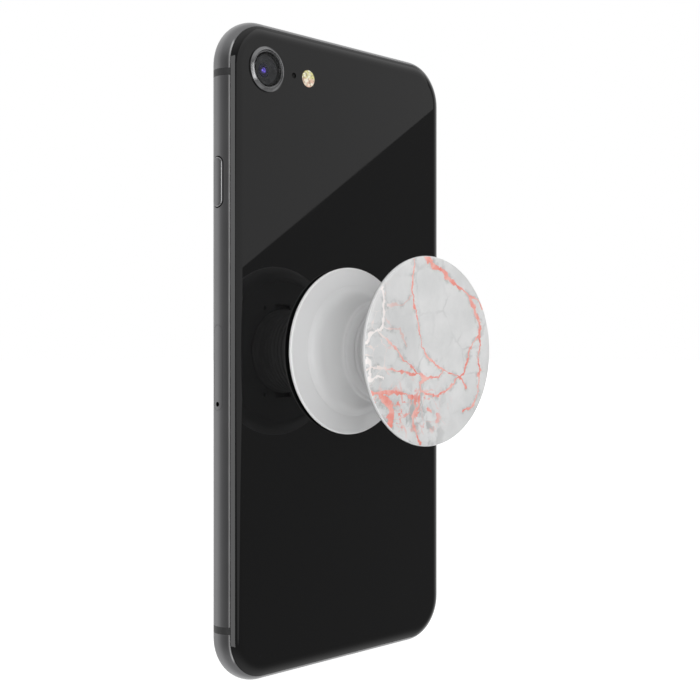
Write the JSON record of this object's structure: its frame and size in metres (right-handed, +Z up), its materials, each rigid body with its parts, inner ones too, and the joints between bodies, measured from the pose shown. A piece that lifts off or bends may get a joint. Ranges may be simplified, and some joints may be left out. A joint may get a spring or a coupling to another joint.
{
  "type": "smartphone",
  "caption": "Slim glass-backed smartphone with a metal rim, side buttons, card tray, rear camera and flash, and a collapsible round finger grip stuck to its back.",
  "frame": {"origin": "centre of the screen glass's outer face", "axes": "+Z up the phone towards the earpiece, +Y from the screen through the phone to the back and the grip, +X to the right of someone looking at the screen"},
  "size_m": [0.0679, 0.0318, 0.1384],
  "materials": {
    "frame_metal": "satin bead-blasted, dark grey anodised",
    "antenna_plastic": "satin",
    "rear_glass": "polished, black backing",
    "front_glass": "polished clear",
    "ink": "black print",
    "screen": "dark, switched off",
    "adhesive": "soft",
    "ring_metal": "turned and anodised",
    "lens_glass": "coated",
    "lens_black": "matte black",
    "flash_window": "prismatic",
    "led_board": "phosphor on ceramic",
    "mesh_steel": "woven",
    "sheet_steel": "stamped",
    "copper_coil": "enamelled copper",
    "battery_pouch": "black foil",
    "strip_white": "stretchy",
    "circuit_board": "solder mask",
    "black_plastic": "moulded",
    "home_cover": "polished sapphire, black backing",
    "card_plastic": "printed card",
    "gold_contact": "plated",
    "seal_rubber": "moulded",
    "mute_orange": "satin",
    "tungsten": "sintered",
    "gel_pad": "tacky gel",
    "grip_plastic": "satin moulded",
    "grip_elastomer": "matte soft moulded",
    "grip_inner": "moulded",
    "marble_print": "glossy printed white stone pattern with pink-gold veins"
  },
  "bodies": {
    "phone": {"frame_middle": "frame_metal", "frame_top": "frame_metal", "frame_bottom": "frame_metal", "antenna_insulator_top": "antenna_plastic", "antenna_insulator_bottom": "antenna_plastic", "rear_glass": "rear_glass", "rear_glass_adhesive": "adhesive", "display_seal": "adhesive", "camera_ring": "ring_metal", "camera_window": "lens_glass", "camera_housing": "lens_black", "flash_lens": "flash_window", "flash_led_board": "led_board", "rear_microphone_mesh": "mesh_steel", "wireless_charging_coil": "copper_coil", "cover_glass": "front_glass", "display_ink_border": "ink", "display_frame": "black_plastic", "lcd_panel": "screen", "backlight_unit": "sheet_steel", "display_shield": "sheet_steel", "home_button_ring": "ring_metal", "home_button_cover": "home_cover", "fingerprint_sensor": "circuit_board", "earpiece_mesh": "mesh_steel", "earpiece_receiver": "black_plastic", "front_camera": "lens_black", "battery": "battery_pouch", "battery_adhesive_strips": "strip_white", "logic_board": "circuit_board", "board_shields": "sheet_steel", "sim_reader": "sheet_steel", "button_switches": "black_plastic", "mute_base": "mute_orange", "charging_port": "black_plastic", "charging_port_contacts": "gold_contact", "bottom_screws": "ring_metal", "sound_meshes": "mesh_steel", "loudspeaker": "black_plastic", "haptic_case": "sheet_steel", "haptic_springs": "sheet_steel", "grip_adhesive_pad": "gel_pad", "grip_base": "grip_plastic", "grip_bellows": "grip_elastomer"},
    "side_button": {"side_button": "frame_metal"},
    "volume_up_button": {"volume_up_button": "frame_metal"},
    "volume_down_button": {"volume_down_button": "frame_metal"},
    "mute_lever": {"mute_lever": "frame_metal"},
    "sim_tray": {"sim_tray": "frame_metal", "sim_card": "card_plastic", "sim_tray_seal": "seal_rubber"},
    "sim_eject_rod": {"sim_eject_rod": "sheet_steel"},
    "sim_eject_lever": {"sim_eject_lever": "sheet_steel"},
    "haptic_weight": {"haptic_weight": "tungsten"},
    "camera_lens_barrel": {"camera_lens_barrel": "lens_black", "camera_front_lens": "lens_glass"},
    "grip_hub": {"grip_hub": "grip_inner"},
    "grip_top": {"grip_top_shell": "grip_plastic", "grip_bayonet_plate": "grip_inner", "grip_print_disc": "marble_print"}
  },
  "joints": [
    {"name": "side_button_press", "type": "slide", "parent": "phone", "child": "side_button", "axis": [-1, 0, 0], "range_m": [0, 0.0003], "stiffness_N_per_m": 400},
    {"name": "volume_up_press", "type": "slide", "parent": "phone", "child": "volume_up_button", "axis": [1, 0, 0], "range_m": [0, 0.0003], "stiffness_N_per_m": 400},
    {"name": "volume_down_press", "type": "slide", "parent": "phone", "child": "volume_down_button", "axis": [1, 0, 0], "range_m": [0, 0.0003], "stiffness_N_per_m": 400},
    {"name": "mute_switch_slide", "type": "slide", "parent": "phone", "child": "mute_lever", "axis": [0, 1, 0], "range_m": [0, 0.0011]},
    {"name": "sim_tray_slide", "type": "slide", "parent": "phone", "child": "sim_tray", "axis": [1, 0, 0], "range_m": [0, 0.0175]},
    {"name": "sim_eject_rod_push", "type": "slide", "parent": "phone", "child": "sim_eject_rod", "axis": [-1, 0, 0], "range_m": [0, 0.0007]},
    {"name": "sim_eject_lever_swing", "type": "hinge", "parent": "phone", "child": "sim_eject_lever", "pos_m": [0.01635, 0.00365, -0.0089], "axis": [0, 1, 0], "range_deg": [0, 24.06]},
    {"name": "haptic_weight_shake", "type": "slide", "parent": "phone", "child": "haptic_weight", "axis": [1, 0, 0], "range_m": [-0.0005, 0.0005], "stiffness_N_per_m": 300, "deforming": ["haptic_springs"]},
    {"name": "camera_focus", "type": "slide", "parent": "phone", "child": "camera_lens_barrel", "axis": [0, 1, 0], "range_m": [0, 0.0002], "stiffness_N_per_m": 100},
    {"name": "grip_extend", "type": "slide", "parent": "phone", "child": "grip_hub", "axis": [0, 1, 0], "range_m": [-0.0175, 0], "deforming": ["grip_bellows"]},
    {"name": "grip_top_twist", "type": "hinge", "parent": "grip_hub", "child": "grip_top", "pos_m": [-0.0009, 0.0303, 0], "axis": [0, 1, 0], "range_deg": [0, 90]}
  ],
  "couplings": [
    {"joint": "sim_eject_rod_push", "follows": "sim_tray_slide", "ratio": 0.04},
    {"joint": "sim_eject_lever_swing", "follows": "sim_tray_slide", "rad_per_m": 24}
  ]
}
